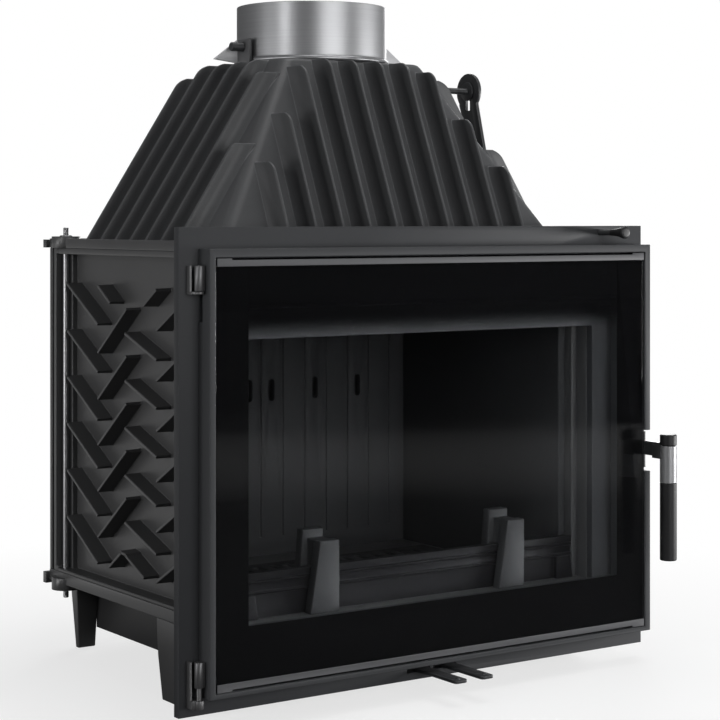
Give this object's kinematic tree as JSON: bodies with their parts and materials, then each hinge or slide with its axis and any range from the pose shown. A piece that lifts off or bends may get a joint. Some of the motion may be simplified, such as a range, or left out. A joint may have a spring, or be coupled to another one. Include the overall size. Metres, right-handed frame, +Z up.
{
  "type": "fireplace insert",
  "caption": "Cast iron fireplace insert with a glazed swing door, ribbed smoke hood, round flue collar, pull damper and sliding air levers.",
  "frame": {"origin": "floor level, at the middle of the object's box", "axes": "+Z up along the flue collar, +Y to the rear, +X to the right as seen from the front"},
  "size_m": [0.7202, 0.571, 0.8846],
  "materials": {
    "cast_body": "graphite grey heat proof paint on fine sand cast iron",
    "cast_front": "smooth graphite grey heat proof paint",
    "cast_inner": "bare grey iron with a matt skin",
    "collar_steel": "rolled steel, brushed round the stub",
    "bright_steel": "zinc bright, fine turned marks",
    "dark_steel": "satin black heat proof paint",
    "pan_steel": "galvanised sheet",
    "glass": "clear ceramic glass with a black printed border",
    "rope": "braided glass rope",
    "grip_black": "black heat proof moulding"
  },
  "bodies": {
    "stove": {"bottom_plate": "cast_body", "top_plate": "cast_body", "side_wall_left": "cast_body", "side_wall_right": "cast_body", "rear_wall": "cast_body", "door_seat_frame": "cast_body", "front_plate": "cast_front", "hood": "cast_body", "flue_collar": "collar_steel", "collar_brackets": "bright_steel", "collar_bolts": "dark_steel", "tie_rods": "bright_steel", "tie_rod_nuts": "bright_steel", "front_leg_left": "cast_body", "front_leg_right": "cast_body", "rear_leg_left": "cast_body", "rear_leg_right": "cast_body", "air_box": "dark_steel", "ash_pan": "pan_steel", "grate": "cast_inner", "lining_left": "cast_inner", "lining_right": "cast_inner", "rear_lining": "cast_inner", "baffle": "cast_inner", "log_fence": "cast_inner", "fire_dog_left": "cast_inner", "fire_dog_right": "cast_inner", "hinge_brackets": "bright_steel", "latch_catch": "dark_steel", "rod_guide": "dark_steel"},
    "door": {"door_frame": "cast_front", "door_glass": "glass", "glass_bar_top": "dark_steel", "glass_bar_bottom": "dark_steel", "rope_seal": "rope", "door_knuckles": "bright_steel", "handle_pin": "bright_steel"},
    "handle": {"handle_arm": "dark_steel", "handle_grip": "grip_black", "grip_sleeve": "bright_steel", "grip_cap": "grip_black"},
    "damper_pull": {"damper_knob": "grip_black", "damper_rod": "dark_steel"},
    "damper": {"damper_lever": "dark_steel", "damper_shaft": "dark_steel", "damper_plate": "cast_inner"},
    "left_air": {"air_lever_left": "dark_steel"},
    "right_air": {"air_lever_right": "dark_steel"}
  },
  "joints": [
    {"name": "door_swing", "type": "hinge", "parent": "stove", "child": "door", "pos_m": [-0.3396, -0.21835, 0.3], "axis": [0, 0, -1], "range_deg": [0, 110]},
    {"name": "handle_turn", "type": "hinge", "parent": "door", "child": "handle", "pos_m": [0.345, -0.21835, 0.2886], "axis": [-1, 0, 0], "range_deg": [0, 30]},
    {"name": "damper_pull_slide", "type": "slide", "parent": "stove", "child": "damper_pull", "axis": [0, -1, 0], "range_m": [0, 0.065]},
    {"name": "damper_turn", "type": "hinge", "parent": "stove", "child": "damper", "pos_m": [0, 0.066, 0.781], "axis": [-1, 0, 0], "range_deg": [0, 19.9]},
    {"name": "left_air_slide", "type": "slide", "parent": "stove", "child": "left_air", "axis": [-1, 0, 0], "range_m": [0, 0.013]},
    {"name": "right_air_slide", "type": "slide", "parent": "stove", "child": "right_air", "axis": [-1, 0, 0], "range_m": [0, 0.013]}
  ],
  "couplings": [
    {"joint": "damper_turn", "follows": "damper_pull_slide", "rad_per_m": 5.312}
  ]
}
